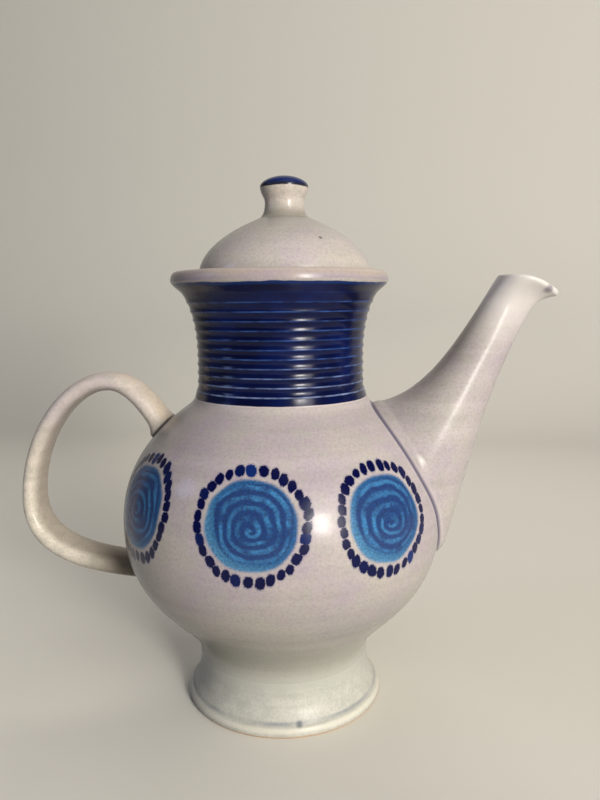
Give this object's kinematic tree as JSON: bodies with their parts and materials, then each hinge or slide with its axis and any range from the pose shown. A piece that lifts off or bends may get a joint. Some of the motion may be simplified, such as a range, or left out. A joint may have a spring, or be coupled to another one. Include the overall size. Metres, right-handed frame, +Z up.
{
  "type": "coffee pot",
  "caption": "Stoneware coffee pot with a blue ribbed collar, painted spiral discs, strap handle, tall spout and a domed lid that lifts off.",
  "frame": {"origin": "centre of the standing ring, on the surface the pot stands on", "axes": "+Z up along the axis of the thrown body, +X from the handle towards the spout, -Y the side with three painted discs towards the viewer"},
  "size_m": [0.2493, 0.1458, 0.2392],
  "materials": {
    "speckled_glaze": "glossy",
    "cobalt_glaze": "glossy"
  },
  "bodies": {
    "pot": {"pot_foot": "speckled_glaze", "pot_belly": "speckled_glaze", "pot_collar": "cobalt_glaze", "pot_rim": "speckled_glaze", "spout": "speckled_glaze", "handle": "speckled_glaze"},
    "lid": {"lid_dome": "speckled_glaze", "lid_skirt": "speckled_glaze", "lid_knob": "speckled_glaze"}
  },
  "joints": [
    {"name": "lid_lift", "type": "slide", "parent": "pot", "child": "lid", "axis": [0, 0, 1], "range_m": [0, 0.07]}
  ]
}
